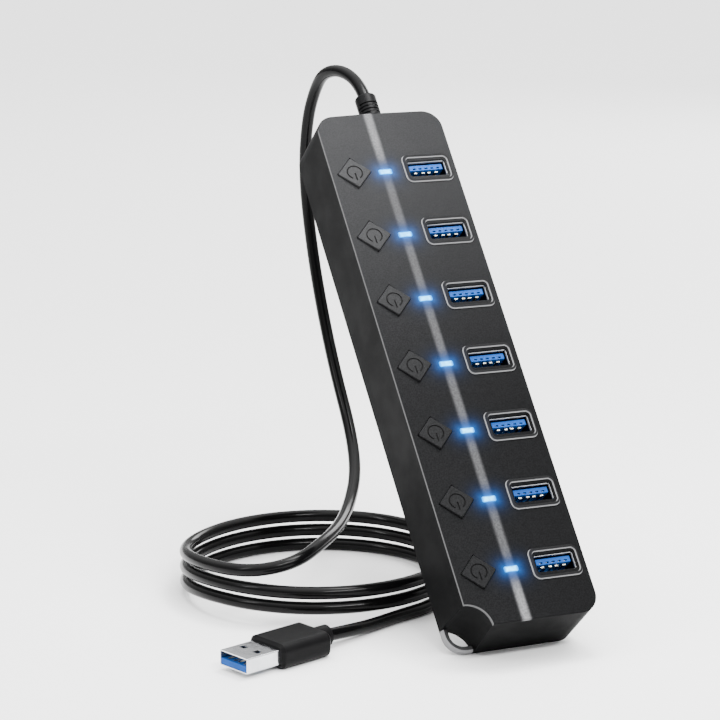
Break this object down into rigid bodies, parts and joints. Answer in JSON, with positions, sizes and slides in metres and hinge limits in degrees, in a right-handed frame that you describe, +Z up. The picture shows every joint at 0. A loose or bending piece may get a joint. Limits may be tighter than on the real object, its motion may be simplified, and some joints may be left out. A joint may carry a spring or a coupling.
{
  "type": "usb hub",
  "caption": "Long slim USB hub with a row of sockets, an indicator light and a push switch beside each socket, a lanyard notch, and a captive coiled cord with plug.",
  "frame": {"origin": "on the floor, under the middle of the leaning housing's box (cord left out)", "axes": "+Z up, +X across the housing towards the sockets' side, -Y the way the face looks; the housing leans back 41.05 degrees from upright"},
  "size_m": [0.1061, 0.1671, 0.157],
  "materials": {
    "housing_plastic": "fine satin texture, dark charcoal",
    "cover_plastic": "fine satin texture, dark charcoal",
    "button_plastic": "satin, near black",
    "screw_steel": "blackened zinc",
    "board": "green solder mask, semi gloss",
    "contact_metal": "gold flash",
    "led": "clear moulding with a blue chip",
    "chip": "moulded package",
    "can_metal": "bright pressed can",
    "capacitor_sleeve": "shrink sleeve",
    "boot": "satin black",
    "cord_jacket": "satin black pvc",
    "grip_plastic": "satin black overmould",
    "socket_steel": "nickel plated steel",
    "blue_plastic": "blue nylon",
    "light_pipe": "milky translucent",
    "switch_case": "black nylon",
    "plunger": "white acetal"
  },
  "bodies": {
    "hub": {"upper_housing": "housing_plastic", "back_cover": "cover_plastic", "housing_screws": "screw_steel", "main_board": "board", "port_contacts": "contact_metal", "indicator_leds": "led", "hub_controllers": "chip", "crystals": "can_metal", "capacitors": "capacitor_sleeve", "strain_relief": "boot", "cord_run": "cord_jacket", "cord_coil": "cord_jacket", "cord_lead": "cord_jacket", "plug_grip": "grip_plastic", "plug_shell": "socket_steel", "plug_insulator": "blue_plastic", "plug_contacts": "contact_metal", "port_shell_1": "socket_steel", "port_tongue_1": "blue_plastic", "light_pipe_1": "light_pipe", "switch_case_1": "switch_case", "port_shell_2": "socket_steel", "port_tongue_2": "blue_plastic", "light_pipe_2": "light_pipe", "switch_case_2": "switch_case", "port_shell_3": "socket_steel", "port_tongue_3": "blue_plastic", "light_pipe_3": "light_pipe", "switch_case_3": "switch_case", "port_shell_4": "socket_steel", "port_tongue_4": "blue_plastic", "light_pipe_4": "light_pipe", "switch_case_4": "switch_case", "port_shell_5": "socket_steel", "port_tongue_5": "blue_plastic", "light_pipe_5": "light_pipe", "switch_case_5": "switch_case", "port_shell_6": "socket_steel", "port_tongue_6": "blue_plastic", "light_pipe_6": "light_pipe", "switch_case_6": "switch_case", "port_shell_7": "socket_steel", "port_tongue_7": "blue_plastic", "light_pipe_7": "light_pipe", "switch_case_7": "switch_case"},
    "button_1": {"button_cap_1": "button_plastic", "switch_plunger_1": "plunger"},
    "button_2": {"button_cap_2": "button_plastic", "switch_plunger_2": "plunger"},
    "button_3": {"button_cap_3": "button_plastic", "switch_plunger_3": "plunger"},
    "button_4": {"button_cap_4": "button_plastic", "switch_plunger_4": "plunger"},
    "button_5": {"button_cap_5": "button_plastic", "switch_plunger_5": "plunger"},
    "button_6": {"button_cap_6": "button_plastic", "switch_plunger_6": "plunger"},
    "button_7": {"button_cap_7": "button_plastic", "switch_plunger_7": "plunger"}
  },
  "joints": [
    {"name": "button_1_press", "type": "slide", "parent": "hub", "child": "button_1", "axis": [0, 0.7541, -0.6567], "range_m": [0, 0.0012], "stiffness_N_per_m": 800, "springref_m": -0.001},
    {"name": "button_2_press", "type": "slide", "parent": "hub", "child": "button_2", "axis": [0, 0.7541, -0.6567], "range_m": [0, 0.0012], "stiffness_N_per_m": 800, "springref_m": -0.001},
    {"name": "button_3_press", "type": "slide", "parent": "hub", "child": "button_3", "axis": [0, 0.7541, -0.6567], "range_m": [0, 0.0012], "stiffness_N_per_m": 800, "springref_m": -0.001},
    {"name": "button_4_press", "type": "slide", "parent": "hub", "child": "button_4", "axis": [0, 0.7541, -0.6567], "range_m": [0, 0.0012], "stiffness_N_per_m": 800, "springref_m": -0.001},
    {"name": "button_5_press", "type": "slide", "parent": "hub", "child": "button_5", "axis": [0, 0.7541, -0.6567], "range_m": [0, 0.0012], "stiffness_N_per_m": 800, "springref_m": -0.001},
    {"name": "button_6_press", "type": "slide", "parent": "hub", "child": "button_6", "axis": [0, 0.7541, -0.6567], "range_m": [0, 0.0012], "stiffness_N_per_m": 800, "springref_m": -0.001},
    {"name": "button_7_press", "type": "slide", "parent": "hub", "child": "button_7", "axis": [0, 0.7541, -0.6567], "range_m": [0, 0.0012], "stiffness_N_per_m": 800, "springref_m": -0.001}
  ]
}
